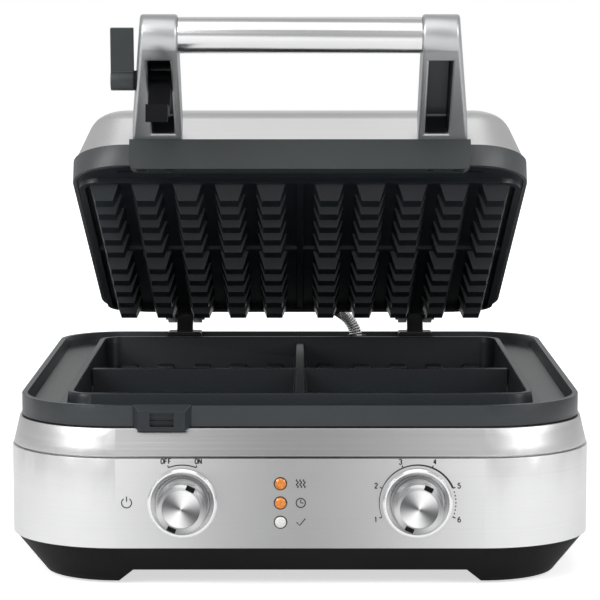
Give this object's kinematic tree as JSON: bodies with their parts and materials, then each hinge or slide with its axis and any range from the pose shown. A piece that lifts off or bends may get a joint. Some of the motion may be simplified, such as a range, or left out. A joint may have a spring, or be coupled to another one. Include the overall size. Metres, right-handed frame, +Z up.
{
  "type": "waffle maker",
  "caption": "Countertop Belgian waffle maker with a stainless base and domed lid, square pegged plates, an overflow moat, a latching handle and two control knobs.",
  "frame": {"origin": "on the table, under the middle of the whole product's bounding box", "axes": "+Z up, -Y towards the front with the controls, +X to the right seen from the front"},
  "size_m": [0.3114, 0.3636, 0.3001],
  "materials": {
    "stainless": "brushed",
    "coated_cast": "non-stick coating",
    "black_plastic": "matte",
    "black_steel": "satin",
    "silver_cast": "satin",
    "polished_steel": "polished",
    "spun_metal": "radially brushed",
    "steel_fixings": "plain",
    "bright_sheet": "bright",
    "rubber": "matte",
    "amber_lens": "translucent",
    "clear_lens": "translucent",
    "circuit_board": "matte",
    "pale_plastic": "matte"
  },
  "bodies": {
    "base": {"control_skirt": "stainless", "shoulder_shell": "stainless", "moat_frame": "coated_cast", "lower_plate": "coated_cast", "latch_catch": "coated_cast", "base_tray": "black_plastic", "base_socket": "black_plastic", "lamp_block": "black_plastic", "power_control": "black_plastic", "browning_control": "black_plastic", "buzzer": "black_plastic", "relay": "black_plastic", "hinge_leg_left": "black_steel", "hinge_leg_right": "black_steel", "hinge_block_left": "black_steel", "hinge_block_right": "black_steel", "power_bezel": "polished_steel", "browning_bezel": "polished_steel", "lead_conduit": "polished_steel", "frame_screws": "steel_fixings", "lower_heater": "steel_fixings", "lower_reflector": "bright_sheet", "lower_thermostat": "bright_sheet", "rubber_feet": "rubber", "cord_gland": "rubber", "heating_lens": "amber_lens", "cooking_lens": "amber_lens", "ready_lens": "clear_lens", "control_board": "circuit_board", "power_board": "circuit_board", "terminal_block": "pale_plastic", "lower_fuse": "pale_plastic"},
    "lid": {"lid_cover": "stainless", "lid_frame": "coated_cast", "upper_plate": "coated_cast", "plate_screws": "steel_fixings", "upper_heater": "steel_fixings", "upper_reflector": "bright_sheet", "upper_thermostat": "bright_sheet", "upper_fuse": "pale_plastic", "front_bar": "black_plastic", "handle_arm_left": "silver_cast", "handle_arm_right": "silver_cast", "handle_bar": "polished_steel", "handle_screws": "steel_fixings", "latch_pin": "steel_fixings", "lid_socket": "black_plastic", "hinge_lug_left": "black_steel", "hinge_lug_right": "black_steel", "hinge_pins": "steel_fixings"},
    "latch": {"latch_lever": "black_plastic", "latch_tab": "black_plastic"},
    "power_dial": {"power_shaft": "steel_fixings", "power_knob": "spun_metal", "power_disc": "spun_metal", "power_index": "black_plastic"},
    "browning_dial": {"browning_shaft": "steel_fixings", "browning_knob": "spun_metal", "browning_disc": "spun_metal", "browning_index": "black_plastic"}
  },
  "joints": [
    {"name": "lid_hinge", "type": "hinge", "parent": "base", "child": "lid", "pos_m": [0, 0.16934, 0.1088], "axis": [-1, 0, 0], "range_deg": [-23.2, 72], "deforming": ["lead_conduit"]},
    {"name": "latch_pivot", "type": "hinge", "parent": "lid", "child": "latch", "pos_m": [-0.072, -0.13584, 0.26593], "axis": [1, 0, 0], "range_deg": [-4, 75]},
    {"name": "power_turn", "type": "hinge", "parent": "base", "child": "power_dial", "pos_m": [-0.06135, -0.15106, 0.0466], "axis": [0, 1, 0], "range_deg": [-50, 0]},
    {"name": "browning_turn", "type": "hinge", "parent": "base", "child": "browning_dial", "pos_m": [0.06135, -0.15106, 0.0466], "axis": [0, 1, 0], "range_deg": [-138, 90]}
  ]
}
